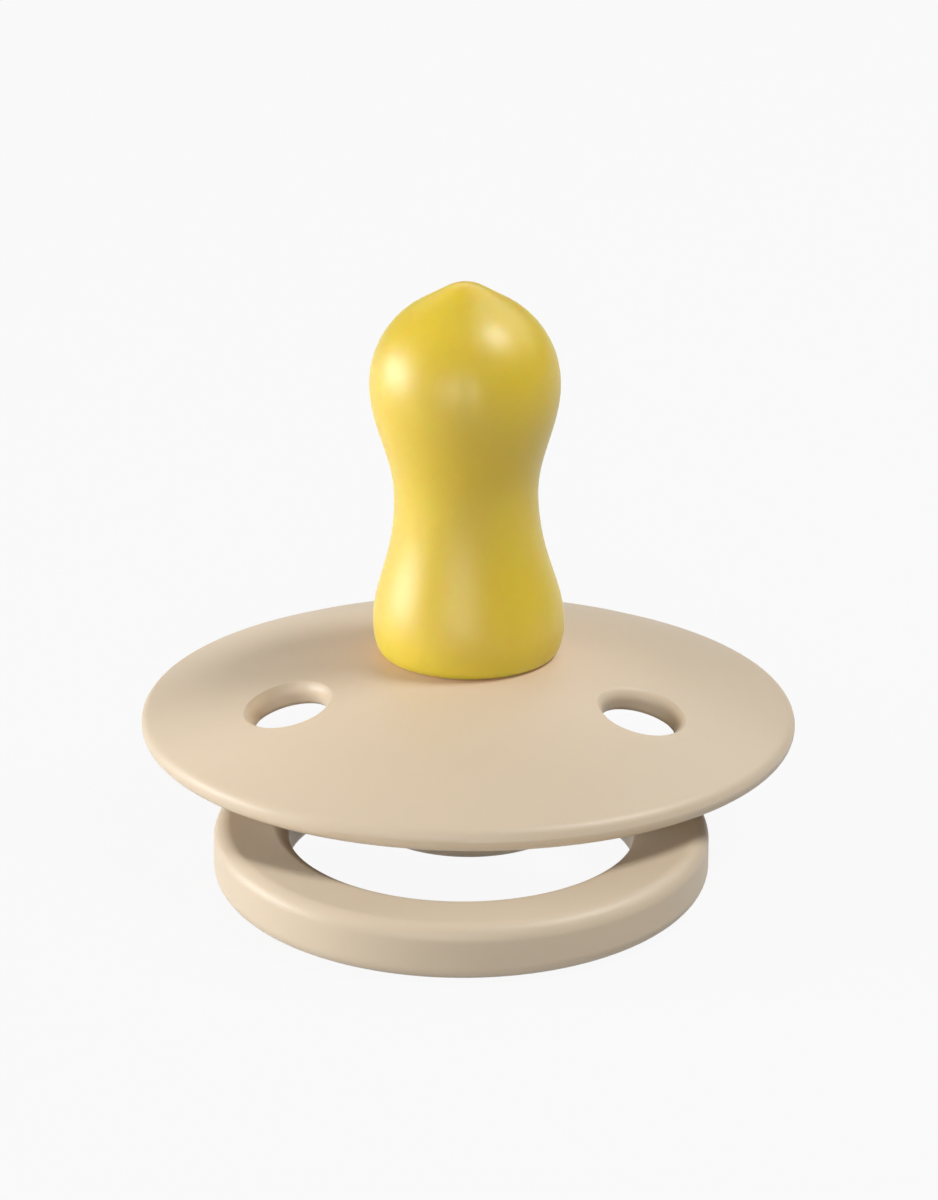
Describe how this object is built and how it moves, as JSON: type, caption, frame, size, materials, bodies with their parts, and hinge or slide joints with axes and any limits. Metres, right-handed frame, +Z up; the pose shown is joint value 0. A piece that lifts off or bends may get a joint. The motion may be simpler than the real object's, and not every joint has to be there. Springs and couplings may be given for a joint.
{
  "type": "pacifier",
  "caption": "Baby pacifier with a round domed shield, a cherry-shaped latex nipple, and a round knob that carries a swinging ring handle.",
  "frame": {"origin": "on the shield's axis, in the knob's flat face, which the pacifier stands on", "axes": "+Z up along the nipple, -Y towards the ring handle, +X along the ring's pivot bar to the right"},
  "size_m": [0.044, 0.0501, 0.0384],
  "materials": {
    "shield_plastic": "satin beige polypropylene, moulded",
    "latex": "translucent amber natural rubber latex, dipped",
    "plug_plastic": "beige polypropylene, moulded",
    "knob_plastic": "satin beige polypropylene, moulded",
    "ring_plastic": "satin beige polypropylene, moulded"
  },
  "bodies": {
    "pacifier_body": {"shield": "shield_plastic", "nipple": "latex", "plug": "plug_plastic", "knob": "knob_plastic"},
    "ring_handle": {"ring": "ring_plastic"}
  },
  "joints": [
    {"name": "ring_swing", "type": "hinge", "parent": "pacifier_body", "child": "ring_handle", "pos_m": [0, 0, 0.00355], "axis": [1, 0, 0], "range_deg": [-5, 178]}
  ]
}
